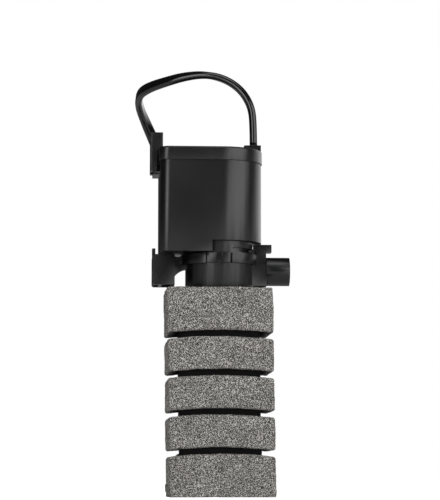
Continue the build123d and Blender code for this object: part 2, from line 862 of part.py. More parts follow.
# Plug: lies on the hank, with a moulded tail and two round pins
plug_back = hank_y + plug_y
plug_front = plug_back + plug_length
plug_z = hank_top + plug_height / 2
with BuildPart() as plug_body:
    with BuildSketch(Plane.XY.offset(hank_top)):
        with BuildLine():
            Polyline(
                (hank_x - plug_rear_width / 2, plug_back),
                (hank_x - plug_width / 2, plug_front - plug_length / 2),
                (hank_x - plug_width / 2, plug_front),
                (hank_x + plug_width / 2, plug_front),
                (hank_x + plug_width / 2, plug_front - plug_length / 2),
                (hank_x + plug_rear_width / 2, plug_back),
                close=True,
            )
        make_face()
    extrude(amount=plug_height)
    fillet(plug_body.edges().filter_by(Axis.Z), plug_edge)
    fillet(plug_body.faces().sort_by(Axis.Z)[-1].edges(), plug_edge)
    with BuildSketch(Plane.XZ.offset(-plug_back)) as tail_root:
        with Locations((hank_x, plug_z)):
            Circle(tail_root_radius)
    with BuildSketch(Plane.XZ.offset(-plug_back + tail_length)) as tail_end:
        with Locations((hank_x, plug_z)):
            Circle(tail_radius)
    loft(sections=[tail_root.sketch, tail_end.sketch])
plug_body.part.label = "plug_body"

with BuildPart() as plug_pins:
    with BuildSketch(Plane.XZ.offset(-plug_front)):
        with Locations((hank_x - pin_spacing / 2, plug_z), (hank_x + pin_spacing / 2, plug_z)):
            Circle(pin_radius)
    extrude(amount=-pin_length)
    fillet(plug_pins.faces().group_by(Axis.Y)[-1].edges(), pin_round)
plug_pins.part.label = "plug_pins"

pieces = [
    filter_sponge,
    strainer_tube,
    strainer_cap,
    pump_chamber,
    inlet_bush,
    motor_housing,
    upper_cup_holder,
    housing_lid,
    cord_gland,
    stator_core,
    coil_bobbin,
    coil_winding,
    thermal_fuse,
    coil_terminals,
    lead_wires,
    potting_resin,
    well_bush,
    rotor_shaft,
    chamber_gasket,
    impeller,
    rotor_magnet,
    thrust_washers,
    power_cord,
    cord_hank,
    hank_tie,
    plug_body,
    plug_pins,
]
for piece in pieces:
    export_step(piece.part, f"parts/{piece.part.label}.step")

print("cord radii", [round(radius, 1) for radius in cord_radii])
print("cord tube length", round(tube_length, 1))
print("tube volume against section times length", power_cord.part.volume / section_area / tube_length)
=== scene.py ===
# Internal power filter: finishes, foam, softened shells and the free cord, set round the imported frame.
from math import cos, pi, radians, sin
import bmesh
import bpy
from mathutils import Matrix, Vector


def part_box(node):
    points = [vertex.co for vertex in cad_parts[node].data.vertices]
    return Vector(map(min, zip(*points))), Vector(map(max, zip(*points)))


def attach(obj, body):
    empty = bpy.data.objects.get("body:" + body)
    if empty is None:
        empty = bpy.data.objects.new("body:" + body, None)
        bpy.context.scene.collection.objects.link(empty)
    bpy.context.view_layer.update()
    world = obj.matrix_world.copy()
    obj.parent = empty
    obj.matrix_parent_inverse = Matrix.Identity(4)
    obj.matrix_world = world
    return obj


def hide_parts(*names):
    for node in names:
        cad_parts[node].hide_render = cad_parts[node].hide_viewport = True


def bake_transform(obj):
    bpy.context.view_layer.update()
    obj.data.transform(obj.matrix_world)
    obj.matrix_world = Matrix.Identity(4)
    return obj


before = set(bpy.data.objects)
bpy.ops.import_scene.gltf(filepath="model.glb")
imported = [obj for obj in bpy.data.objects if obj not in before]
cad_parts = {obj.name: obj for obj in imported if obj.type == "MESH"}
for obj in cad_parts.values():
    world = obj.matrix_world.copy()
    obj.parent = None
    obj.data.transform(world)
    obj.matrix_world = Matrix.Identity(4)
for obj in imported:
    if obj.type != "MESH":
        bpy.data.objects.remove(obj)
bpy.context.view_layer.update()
mm = 0.001


def toLinear(hexColour):  # sRGB hex to linear, with alpha
    channels = [int(hexColour[i:i + 2], 16) / 255 for i in (1, 3, 5)]
    return [c / 12.92 if c <= 0.04045 else ((c + 0.055) / 1.055) ** 2.4 for c in channels] + [1.0]


def addNode(tree, kind, settings=None, inputs=None):  # one node with its settings, values and links
    node = tree.nodes.new(kind)
    for name, value in (settings or {}).items():
        setattr(node, name, value)
    for name, value in (inputs or {}).items():
        if isinstance(value, bpy.types.NodeSocket):
            tree.links.new(value, node.inputs[name])
        else:
            node.inputs[name].default_value = value
    return node


def newPiece(name, mesh):
    piece = bpy.data.objects.new(name, mesh)
    bpy.context.scene.collection.objects.link(piece)
    return piece


def settle(piece, body, slot, *cadNodes):  # rides on its body and stands for its nodes; slot is not used
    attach(piece, body)
    if cadNodes:
        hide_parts(*cadNodes)
    return piece


def newMaterial(name, shine):  # a Principled surface with the values that are the same all over
    material = bpy.data.materials.new(name)
    material.use_nodes = True
    shader = material.node_tree.nodes["Principled BSDF"]
    for socket, value in shine.items():
        shader.inputs[socket].default_value = value
    return material, material.node_tree, shader


def mouldedPlastic(name, finish):  # an even mould grain, with slow changes of tone and gloss from the flow
    material, tree, shader = newMaterial(name, {"IOR": finish["ior"]})
    place = addNode(tree, "ShaderNodeTexCoord").outputs["Object"]
    grain = addNode(tree, "ShaderNodeTexNoise", None, {
        "Vector": place, "Scale": 1 / (finish["grain"] * mm), "Detail": 3.0, "Roughness": 0.6,
    }).outputs["Fac"]
    flow = addNode(tree, "ShaderNodeTexNoise", None, {
        "Vector": place, "Scale": 1 / (finish["flow"] * mm), "Detail": 2.0,
    }).outputs["Fac"]
    tone = addNode(tree, "ShaderNodeMix", {"data_type": "RGBA"}, {
        0: flow, 6: toLinear(finish["dark"]), 7: toLinear(finish["light"]),
    }).outputs[2]
    gloss = addNode(tree, "ShaderNodeMapRange", None, {
        "Value": flow, "From Min": 0.3, "From Max": 0.7,
        "To Min": finish["smooth"], "To Max": finish["rough"],
    }).outputs["Result"]
    bump = addNode(tree, "ShaderNodeBump", None, {
        "Strength": finish["strength"], "Distance": finish["depth"] * mm, "Height": grain,
    }).outputs["Normal"]
    tree.links.new(tone, shader.inputs["Base Color"])
    tree.links.new(gloss, shader.inputs["Roughness"])
    tree.links.new(bump, shader.inputs["Normal"])
    return material


# satin black ABS, injection moulded in a lightly spark-eroded tool: deep black with soft, wide highlights
blackAbs = mouldedPlastic("satinBlackAbs", {
    "dark": "#08080a", "light": "#0c0c0d", "smooth": 0.30, "rough": 0.33, "ior": 1.50,
    "grain": 0.35, "flow": 14.0, "depth": 0.012, "strength": 0.5,
})
# the chamber is moulded in a better polished tool, so its highlights are tighter
chamberAbs = mouldedPlastic("glossBlackAbs", {
    "dark": "#060607", "light": "#0a0a0b", "smooth": 0.28, "rough": 0.33, "ior": 1.46,
    "grain": 0.30, "flow": 10.0, "depth": 0.006, "strength": 0.4,
})
# extruded plasticised PVC: glossy, with faint die lines and a slightly uneven skin
cordPvc = mouldedPlastic("glossBlackPvc", {
    "dark": "#070708", "light": "#0b0b0c", "smooth": 0.12, "rough": 0.18, "ior": 1.53,
    "grain": 2.5, "flow": 9.0, "depth": 0.01, "strength": 0.3,
})
plugPvc = mouldedPlastic("mattBlackPvc", {
    "dark": "#121213", "light": "#1b1b1c", "smooth": 0.42, "rough": 0.52, "ior": 1.53,
    "grain": 0.4, "flow": 8.0, "depth": 0.03, "strength": 0.6,
})
# moulded nitrile rubber: dull, with a dusty bloom
blackRubber = mouldedPlastic("nitrileRubber", {
    "dark": "#101010", "light": "#1d1c1b", "smooth": 0.55, "rough": 0.70, "ior": 1.52,
    "grain": 0.25, "flow": 2.5, "depth": 0.02, "strength": 0.6,
})
tiePvc = mouldedPlastic("twistTiePvc", {
    "dark": "#1a1a1b", "light": "#262627", "smooth": 0.45, "rough": 0.55, "ior": 1.53,
    "grain": 0.6, "flow": 3.0, "depth": 0.03, "strength": 0.5,
})
# unfilled nylon is creamy and slightly waxy
naturalNylon = mouldedPlastic("naturalNylon", {
    "dark": "#d9d2bc", "light": "#ebe6d6", "smooth": 0.34, "rough": 0.44, "ior": 1.53,
    "grain": 0.5, "flow": 5.0, "depth": 0.01, "strength": 0.4,
})
fuseCase = mouldedPlastic("phenolicFuseCase", {
    "dark": "#b3a888", "light": "#c9bf9f", "smooth": 0.40, "rough": 0.50, "ior": 1.6,
    "grain": 0.3, "flow": 2.0, "depth": 0.01, "strength": 0.4,
})
leadPvc = mouldedPlastic("blueLeadPvc", {
    "dark": "#1c3f7a", "light": "#24509a", "smooth": 0.28, "rough": 0.36, "ior": 1.53,
    "grain": 0.5, "flow": 4.0, "depth": 0.01, "strength": 0.4,
})
# cast epoxy: self-levelled and glassy, with a few slow swirls of filler
pottingEpoxy = mouldedPlastic("castEpoxy", {
    "dark": "#15130f", "light": "#2a251e", "smooth": 0.10, "rough": 0.20, "ior": 1.55,
    "grain": 3.0, "flow": 7.0, "depth": 0.03, "strength": 0.3,
})
# ground alumina: white, hard and bright
aluminaCeramic = mouldedPlastic("groundAlumina", {
    "dark": "#dcdad2", "light": "#f0eee8", "smooth": 0.12, "rough": 0.22, "ior": 1.76,
    "grain": 0.15, "flow": 1.5, "depth": 0.002, "strength": 0.3,
})
acetal = mouldedPlastic("blackAcetal", {
    "dark": "#1b1b1d", "light": "#262628", "smooth": 0.30, "rough": 0.40, "ior": 1.48,
    "grain": 0.3, "flow": 5.0, "depth": 0.006, "strength": 0.4,
})
# sintered ferrite: charcoal grey, finely granular after grinding
ferrite = mouldedPlastic("sinteredFerrite", {
    "dark": "#2a2b2e", "light": "#3d3e42", "smooth": 0.45, "rough": 0.60, "ior": 2.3,
    "grain": 0.12, "flow": 1.6, "depth": 0.01, "strength": 0.6,
})


def platedMetal(name, finish):  # drawn or plated metal: fine lines along one axis under the plating
    material, tree, shader = newMaterial(name, {"Metallic": 1.0})
    place = addNode(tree, "ShaderNodeTexCoord").outputs["Object"]
    stretched = addNode(tree, "ShaderNodeMapping", None, {
        "Vector": place, "Scale": [s / (finish["line"] * mm) for s in finish["stretch"]],
    }).outputs["Vector"]
    lines = addNode(tree, "ShaderNodeTexNoise", None, {
        "Vector": stretched, "Scale": 1.0, "Detail": 2.0,
    }).outputs["Fac"]
    tone = addNode(tree, "ShaderNodeMix", {"data_type": "RGBA"}, {
        0: lines, 6: toLinear(finish["dark"]), 7: toLinear(finish["light"]),
    }).outputs[2]
    gloss = addNode(tree, "ShaderNodeMapRange", None, {
        "Value": lines, "To Min": finish["smooth"], "To Max": finish["rough"],
    }).outputs["Result"]
    bump = addNode(tree, "ShaderNodeBump", None, {
        "Strength": finish["strength"], "Distance": finish["depth"] * mm, "Height": lines,
    }).outputs["Normal"]
    tree.links.new(tone, shader.inputs["Base Color"])
    tree.links.new(gloss, shader.inputs["Roughness"])
    tree.links.new(bump, shader.inputs["Normal"])
    return material


nickelPlate = platedMetal("nickelPlatedBrass", {
    "dark": "#b5afa3", "light": "#d2cdc4", "smooth": 0.16, "rough": 0.30,
    "line": 0.12, "stretch": (1.0, 0.05, 1.0), "depth": 0.004, "strength": 0.4,
})
# each electrical-steel sheet has its own oxide tone, and its edge shows the shear lines
siliconSteel = platedMetal("electricalSteel", {
    "dark": "#6d7075", "light": "#a3a6ab", "smooth": 0.30, "rough": 0.50,
    "line": 0.5, "stretch": (0.1, 0.1, 1.0), "depth": 0.03, "strength": 0.7,
})
# enamel over copper: orange metal under a clear varnish
enamelledCopper = platedMetal("enamelledCopper", {
    "dark": "#9a4a1c", "light": "#c8713a", "smooth": 0.20, "rough": 0.34,
    "line": 0.35, "stretch": (0.1, 1.0, 0.1), "depth": 0.01, "strength": 0.3,
})
print("finishes ready")


# The studio: a white sweep, one wide softbox each side in front, and one above.
studio = {
    "distance": 0.9226, "azimuth": -3.43, "pitch": 6.0, "lens": 157.2, "aim": (0.0002, 0.0, 0.1038),
    "sweep": "#ffffff", "shade": 0.03, "bright": 1.55, "towards": (0.6, 0.8, 0.0), "seen": 1.0,
    "floorReach": 4.0, "floorGlow": 0.12,
    # name, angle from the view (right is positive), height, distance, width, tall, power
    "softboxes": [
        ("rightSoftbox", 46.0, 0.26, 0.85, 0.90, 0.80, 6.1),
        ("leftSoftbox", -35.0, 0.24, 0.85, 0.42, 0.80, 4.2),
        ("topSoftbox", 10.0, 1.05, 0.45, 0.60, 0.60, 3.0),
    ],
}


def setStudio():
    scene = bpy.context.scene
    scene.view_settings.view_transform = "Standard"
    world = bpy.data.worlds.new("studioWorld")
    world.use_nodes = True
    scene.world = world
    tree = world.node_tree
    direction = addNode(tree, "ShaderNodeTexCoord").outputs["Generated"]
    towards = addNode(tree, "ShaderNodeVectorMath", {"operation": "DOT_PRODUCT"}, {
        0: direction, 1: studio["towards"],
    })
    level = addNode(tree, "ShaderNodeMapRange", {"interpolation_type": "SMOOTHSTEP"}, {
        "Value": towards.outputs["Value"], "From Min": 0.70, "From Max": 1.0,
        "To Min": studio["shade"], "To Max": studio["bright"],
    }).outputs["Result"]
    seen = addNode(tree, "ShaderNodeLightPath").outputs["Is Camera Ray"]
    strength = addNode(tree, "ShaderNodeMix", {"data_type": "FLOAT"}, {
        0: seen, 2: level, 3: studio["seen"],
    }).outputs[0]
    background = tree.nodes["Background"]
    background.inputs["Color"].default_value = toLinear(studio["sweep"])
    tree.links.new(strength, background.inputs["Strength"])

    reach = studio["floorReach"]
    mesh = bpy.data.meshes.new("studioFloor")
    corners = [(-reach, -reach, 0), (reach, -reach, 0), (reach, reach, 0), (-reach, reach, 0)]
    mesh.from_pydata(corners, [], [(0, 1, 2, 3)])
    floor = newPiece("studioFloor", mesh)
    material, floorTree, shader = newMaterial("paperSweep", {
        "Base Color": toLinear("#f4f4f4"), "Roughness": 0.9,
        "Emission Color": toLinear("#ffffff"),
    })
    direct = addNode(floorTree, "ShaderNodeLightPath").outputs["Is Camera Ray"]
    glow = addNode(floorTree, "ShaderNodeMix", {"data_type": "FLOAT"}, {
        0: direct, 2: studio["floorGlow"], 3: studio["seen"],
    }).outputs[0]
    floorTree.links.new(glow, shader.inputs["Emission Strength"])
    mesh.materials.append(material)

    for name, angle, height, distance, width, tall, power in studio["softboxes"]:
        light = bpy.data.lights.new(name, "AREA")
        light.shape = "RECTANGLE"
        light.size, light.size_y, light.energy = width, tall, power
        lamp = bpy.data.objects.new(name, light)
        scene.collection.objects.link(lamp)
        turn = radians(angle)
        lamp.location = (distance * sin(turn), -distance * cos(turn), height)
        aim = Vector(studio["aim"]) - lamp.location
        lamp.rotation_euler = aim.to_track_quat("-Z", "Y").to_euler()

    camera = bpy.data.objects.new("camera", bpy.data.cameras.new("camera"))
    scene.collection.objects.link(camera)
    camera.data.sensor_fit = "VERTICAL"
    camera.data.sensor_height = 36.0
    camera.data.lens = studio["lens"]
    camera.data.clip_start = 0.01
    azimuth, pitch = radians(studio["azimuth"]), radians(studio["pitch"])
    sight = Vector((-sin(azimuth) * cos(pitch), cos(azimuth) * cos(pitch), sin(pitch)))
    camera.location = Vector(studio["aim"]) - studio["distance"] * sight
    camera.rotation_euler = sight.to_track_quat("-Z", "Y").to_euler()
    scene.camera = camera


setStudio()
print("studio ready")


# The cord: flat twin flex, from the gland over the head and down behind it to a tied hank and its plug.
cord = {
    "width": 5.2, "thickness": 3.2, "waist": 0.86, "length": 1.10,
    "route": [  # listed points, in millimetres
        (14.6, 2.5, 148.8), (14.6, 2.5, 157.0), (13.9, 2.7, 165.5), (9.7, 3.8, 173.0), (2.8, 5.0, 178.0),
        (-5.7, 6.5, 180.2), (-14.5, 8.8, 179.6), (-22.8, 12.6, 177.8), (-29.6, 18.6, 176.4), (-33.6, 27.0, 175.0),
        (-33.6, 37.0, 171.5), (-29.6, 45.5, 164.0), (-24.0, 50.0, 152.5), (-17.5, 50.5, 137.5),
        (-10.5, 47.0, 119.5), (-7.0, 42.5, 99.5), (-7.0, 38.5, 77.5), (-9.0, 36.0, 55.0), (-10.0, 36.2, 35.5),
        (-11.5, 40.5, 18.5), (-15.4, 48.5, 7.0), (-16.2, 56.5, 3.2), (-16.2, 64.0, 3.2),
    ],
    # broad side of the flex at some of the route's points: point, direction
    "facing": [
        (0, (0, 1, 0)), (4, (0, 1, 0.1)), (6, (0, 0.8, 0.6)), (8, (0, 0.5, 0.85)), (10, (0.2, 0.5, 0.85)),
        (12, (0.8, 0.1, 0.5)), (14, (1, 0, 0)), (20, (1, 0, 0)), (22, (1, 0, 0.3)),
    ],
    "lanes": [1.8, 6.2, 9.65, 13.1],  # middle of each turn, inside the hank's edge
    "lastLane": 16.6, "hankLength": 98.0, "foldPoints": 5, "floor": 3.2,
    "rise": [(-0.5, 99.0, 4.0), (1.9, 105.0, 8.6)],  # from the innermost turn up to the plug's tail
    "rings": 10, "section": 20,
}


def hankPoints():  # turns on edge, each one lane further in, then up into the plug's tail
    low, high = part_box("cord_hank")
    plugLow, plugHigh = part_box("plug_body")
    tail = plugLow.y / mm
    middle = (low.x + high.x) / 2 / mm
    outer = (high.x - low.x) / 2 / mm
    near = high.y / mm - cord["hankLength"] + outer
    far = high.y / mm - outer
    level = cord["floor"]
    points = []
    radii = [outer - lane for lane in cord["lanes"] + [cord["lastLane"]]]
    step = pi / cord["foldPoints"]

    def fold(centreY, start, first, last):
        for k in range(cord["foldPoints"]):
            share = (k + 0.5) / cord["foldPoints"]
            radius = (first + (last - first) * share) / cos(step / 2)
            angle = start - (k + 0.5) * step
            points.append((middle + radius * cos(angle), centreY + radius * sin(angle), level))

    for turn, radius in enumerate(radii[:-1]):
        inner = radii[turn + 1]
        for share in (0.15, 0.5, 0.85):
            points.append((middle - radius, near + (far - near) * share, level))
        fold(far, pi, radius, radius)
        for share in (0.85, 0.5, 0.15):
            points.append((middle + radius, near + (far - near) * share, level))
        fold(near, 0.0, radius, inner)
    points.append((middle - inner, near + 1.0, level))
    points.extend(cord["rise"])
    axis = (plugLow.z + plugHigh.z) / 2 / mm
    points.extend([(middle, tail - 3.0, axis), (middle, tail + 3.0, axis), (middle, tail + 9.0, axis)])
    return points


def smoothLine(points):  # the points of one NURBS spline that has these control points
    line = bpy.data.curves.new("cordLine", "CURVE")
    line.dimensions = "3D"
    line.resolution_u = cord["rings"]
    spline = line.splines.new("NURBS")
    spline.points.add(len(points) - 1)
    for slotPoint, place in zip(spline.points, points):
        slotPoint.co = (place[0] * mm, place[1] * mm, place[2] * mm, 1.0)
    spline.order_u = 3
    spline.use_endpoint_u = True
    holder = newPiece("cordLine", line)
    path = bpy.data.meshes.new_from_object(holder)
    line3d = [vertex.co.copy() for vertex in path.vertices]
    bpy.data.objects.remove(holder)
    bpy.data.meshes.remove(path)
    return line3d


def flatSection():  # two round cores side by side, with a shallow waist between them
    lobe = cord["thickness"] / 2
    offset = cord["width"] / 2 - lobe
    outline = []
    for k in range(cord["section"]):
        angle = 2 * pi * (k + 0.5) / cord["section"]
        across = lobe * cos(angle) + (offset if cos(angle) > 0 else -offset)
        through = lobe * sin(angle)
        nearWaist = max(0.0, 1.0 - abs(across) / lobe)
        outline.append((across * mm, through * mm * (1 - (1 - cord["waist"]) * nearWaist)))
    return outline


def sweepCord(path, facing):
    outline = flatSection()
    count = len(outline)
    vertices, faces = [], []
    for k, place in enumerate(path):
        tangent = (path[min(k + 1, len(path) - 1)] - path[max(k - 1, 0)]).normalized()
        broad = (facing[k] - tangent * facing[k].dot(tangent)).normalized()
        through = tangent.cross(broad)
        vertices += [place + broad * a + through * b for a, b in outline]
    for k in range(len(path) - 1):
        for j in range(count):
            n = (j + 1) % count
            faces.append((k * count + j, k * count + n, (k + 1) * count + n, (k + 1) * count + j))
    faces.append(tuple(reversed(range(count))))
    faces.append(tuple(range(len(vertices) - count, len(vertices))))
    mesh = bpy.data.meshes.new("powerCord")
    mesh.from_pydata(vertices, [], faces)
    mesh.shade_smooth()
    mesh.materials.append(cordPvc)
    return mesh


def makeCord():
    route = cord["route"]
    points = route + hankPoints()
    path = smoothLine(points)
    perPoint = (len(path) - 1) / (len(points) - 1)
    marks = [(k * perPoint, Vector(d).normalized()) for k, d in cord["facing"]]
    upright = Vector((0, 0, 1))
    marks.append(((len(route) + 2) * perPoint, upright))
    marks.append(((len(points) - 5) * perPoint, upright))
    marks.append(((len(points) - 1) * perPoint, Vector((1, 0, 0))))
    facing = []
    for k in range(len(path)):
        before = max((m for m in marks if m[0] <= k), key=lambda m: m[0])
        after = min((m for m in marks if m[0] >= k), key=lambda m: m[0], default=marks[-1])
        span = after[0] - before[0]
        share = (k - before[0]) / span if span > 0 else 0.0
        facing.append(before[1].lerp(after[1], share))
    piece = newPiece("powerCord", sweepCord(path, facing))
    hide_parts("power_cord", "cord_hank")
    length = sum((b - a).length for a, b in zip(path, path[1:]))
    print("cord length", round(length, 3), "m over", len(points), "points")
    return piece, path


cordPiece, cordPath = makeCord()


# The sponge: a block of open-cell foam with ring grooves, sawn, so its edges are soft and its faces pitted.
sponge = {
    "step": 0.55, "corner": 1.1, "lip": 0.9, "baseLip": 0.6, "topLip": 0.7,
    "grooves": 4, "firstGroove": 18.7, "groovePitch": 16.1, "grooveHeight": 2.7, "grooveDepth": 5.5,
    "arch": 1.3, "lean": 1.3, "offset": -0.35, "slim": 0.975, "swell": 0.35, "swellSize": 9.0,
    "pore": 0.37, "poreDepth": 0.38, "boreRadius": 7.4, "boreFloor": 19.0, "boreRows": 14,
    "archFade": 12.0, "archLift": 0.35, "cutShade": 1.35,
    "crumb": 0.9, "patch": 12.0, "darkBelow": 0.84, "lightAbove": 1.27,
    # the last colour is painted shade, laid into the grooves and down the bore
    "cell": "#0b0b0b", "strut": "#cbc9c5", "aged": "#f3f0ec", "paintedCutShadeColour": "#1f1f1f",
}


def filterFoam():  # reticulated polyurethane: bright struts round dark open cells, with painted shade darkening the grooves and the bore
    material, tree, shader = newMaterial("reticulatedFoam", {"Roughness": 0.95, "Specular IOR Level": 0.15})
    place = addNode(tree, "ShaderNodeTexCoord").outputs["Object"]
    cells = addNode(tree, "ShaderNodeTexVoronoi", {"feature": "F1"}, {
        "Vector": place, "Scale": 1 / (sponge["pore"] * mm), "Randomness": 1.0,
    }).outputs["Distance"]
    crumbs = addNode(tree, "ShaderNodeTexNoise", None, {
        "Vector": place, "Scale": 1 / (0.55 * sponge["pore"] * mm), "Detail": 3.0, "Roughness": 0.7,
    }).outputs["Fac"]
    patches = addNode(tree, "ShaderNodeTexNoise", None, {
        "Vector": place, "Scale": 1 / (sponge["patch"] * mm), "Detail": 2.0,
    })
    struts = addNode(tree, "ShaderNodeMath", {"operation": "MULTIPLY_ADD"}, {
        0: crumbs, 1: sponge["crumb"], 2: cells,
    }).outputs[0]
    tone = addNode(tree, "ShaderNodeMapRange", None, {
        "Value": struts, "From Min": sponge["darkBelow"], "From Max": sponge["lightAbove"],
    }).outputs["Result"]
    skin = addNode(tree, "ShaderNodeMix", {"data_type": "RGBA"}, {
        0: tone, 6: toLinear(sponge["cell"]), 7: toLinear(sponge["strut"]),
    }).outputs[2]
    warm = addNode(tree, "ShaderNodeMix", {"data_type": "RGBA", "blend_type": "MULTIPLY"}, {
        0: patches.outputs["Fac"], 6: skin, 7: toLinear(sponge["aged"]),
    }).outputs[2]
    # painted shade: a weight stored on the mesh blends the foam towards a dark colour in the grooves and the bore
    depth = addNode(tree, "ShaderNodeAttribute", {"attribute_name": "paintedShadeWeight"}).outputs["Fac"]
    foamWithPaintedShade = addNode(tree, "ShaderNodeMix", {"data_type": "RGBA"}, {
        0: depth, 6: warm, 7: toLinear(sponge["paintedCutShadeColour"]),
    }).outputs[2]
    bump = addNode(tree, "ShaderNodeBump", None, {
        "Strength": 0.9, "Distance": 0.25 * mm, "Height": struts,
    }).outputs["Normal"]
    tree.links.new(foamWithPaintedShade, shader.inputs["Base Color"])
    tree.links.new(bump, shader.inputs["Normal"])
    return material


def roundedCorner(before, corner, after, radius, steps=4):  # points of the arc that rounds a corner
    incoming = (Vector(corner) - Vector(before)).normalized()
    outgoing = (Vector(after) - Vector(corner)).normalized()
    start = Vector(corner) - radius * incoming
    centre = start + radius * outgoing
    turns = [pi / 2 * k / steps for k in range(steps + 1)]
    return [centre - radius * outgoing * cos(t) + radius * incoming * sin(t) for t in turns]


def spongeProfile(height):  # up the side, as (inset, level), rounded at every lip and evenly stepped
    corners = [((0, 0), sponge["baseLip"])]
    for ring in range(sponge["grooves"]):
        middle = sponge["firstGroove"] + ring * sponge["groovePitch"]
        low, high = middle - sponge["grooveHeight"] / 2, middle + sponge["grooveHeight"] / 2
        deep = sponge["grooveDepth"]
        corners += [
            ((0, low), sponge["lip"]), ((deep, low), 0), ((deep, high), 0), ((0, high), sponge["lip"]),
        ]
    corners.append(((0, height), sponge["topLip"]))
    stops = [(2.0, 0.0)] + [place for place, radius in corners] + [(2.0, height)]
    outline = []
    for k, (place, radius) in enumerate(corners, start=1):
        if radius:
            outline += roundedCorner(stops[k - 1], place, stops[k + 1], radius)
        else:
            outline.append(Vector(place))
    even = [outline[0]]
    for a, b in zip(outline, outline[1:]):
        pieces = max(1, round((b - a).length / sponge["step"]))
        even += [a.lerp(b, (k + 1) / pieces) for k in range(pieces)]
    return even


def roundedOutline(width, depth, corner, count):  # evenly spaced points round a rectangle with round corners
    runs = []
    for k, side in enumerate((depth, width, depth, width)):
        heading = radians(90 * (k + 1))
        ahead = Vector((cos(heading), sin(heading)))
        left = Vector((-ahead.y, ahead.x))
        span = (width if k % 2 == 0 else depth) / 2
        start = -left * span - ahead * (side / 2 - corner)
        runs.append((side - 2 * corner, start, ahead, left, False))
        runs.append((pi * corner / 2, start + ahead * (side - 2 * corner), ahead, left, True))
    total = sum(run[0] for run in runs)
    points = []
    for k in range(count):
        way = total * k / count
        for length, start, ahead, left, bend in runs:
            if way <= length:
                break
            way -= length
        if bend:
            turn = way / corner
            points.append(start + left * corner * (1 - cos(turn)) + ahead * corner * sin(turn))
        else:
            points.append(start + ahead * way)
    return points


def foamRelief(material):  # slow swell of the sawn faces, and pits where the saw opened the cells
    tree = bpy.data.node_groups.new("foamRelief", "GeometryNodeTree")
    tree.interface.new_socket("Geometry", in_out="INPUT", socket_type="NodeSocketGeometry")
    for label in ("Swell", "Swell size", "Pore depth", "Pore size", "Seed"):
        tree.interface.new_socket(label, in_out="INPUT", socket_type="NodeSocketFloat")
    tree.interface.new_socket("Geometry", in_out="OUTPUT", socket_type="NodeSocketGeometry")
    given = addNode(tree, "NodeGroupInput").outputs
    start = addNode(tree, "ShaderNodeCombineXYZ", None, {"X": given["Seed"]}).outputs[0]
    place = addNode(tree, "GeometryNodeInputPosition").outputs[0]
    place = addNode(tree, "ShaderNodeVectorMath", {"operation": "ADD"}, {0: place, 1: start}).outputs[0]
    normal = addNode(tree, "GeometryNodeInputNormal").outputs[0]

    def maths(operation, *values):
        return addNode(tree, "ShaderNodeMath", {"operation": operation}, dict(enumerate(values))).outputs[0]

    slow = addNode(tree, "ShaderNodeTexNoise", None, {
        "Vector": place, "Scale": maths("DIVIDE", 1.0, given["Swell size"]), "Detail": 1.0,
    }).outputs["Fac"]
    cells = addNode(tree, "ShaderNodeTexVoronoi", {"feature": "F1"}, {
        "Vector": place, "Scale": maths("DIVIDE", 1.0, given["Pore size"]),
    }).outputs["Distance"]
    swell = maths("MULTIPLY", maths("MULTIPLY_ADD", slow, 2.0, -1.0), given["Swell"])
    pits = maths("MULTIPLY", maths("SUBTRACT", cells, 0.55), given["Pore depth"])
    offset = addNode(tree, "ShaderNodeVectorMath", {"operation": "SCALE"}, {
        0: normal, "Scale": maths("ADD", swell, pits),
    }).outputs[0]
    moved = addNode(tree, "GeometryNodeSetPosition", None, {"Geometry": given["Geometry"], "Offset": offset})
    real = addNode(tree, "GeometryNodeRealizeInstances", None, {"Geometry": moved.outputs["Geometry"]})
    finish = addNode(tree, "GeometryNodeSetMaterial", None, {
        "Geometry": real.outputs["Geometry"], "Material": material,
    })
    addNode(tree, "NodeGroupOutput", None, {"Geometry": finish.outputs["Geometry"]})
    return tree


def applyNodes(piece, tree, values):  # the evaluated result as a plain mesh, with the modifier gone
    modifier = piece.modifiers.new(tree.name, "NODES")
    modifier.node_group = tree
    for socket in tree.interface.items_tree:
        if socket.name in values:
            modifier[socket.identifier] = values[socket.name]
    result = bpy.data.meshes.new_from_object(piece.evaluated_get(bpy.context.evaluated_depsgraph_get()))
    piece.modifiers.remove(modifier)
    old, piece.data = piece.data, result
    bpy.data.meshes.remove(old)
    return piece


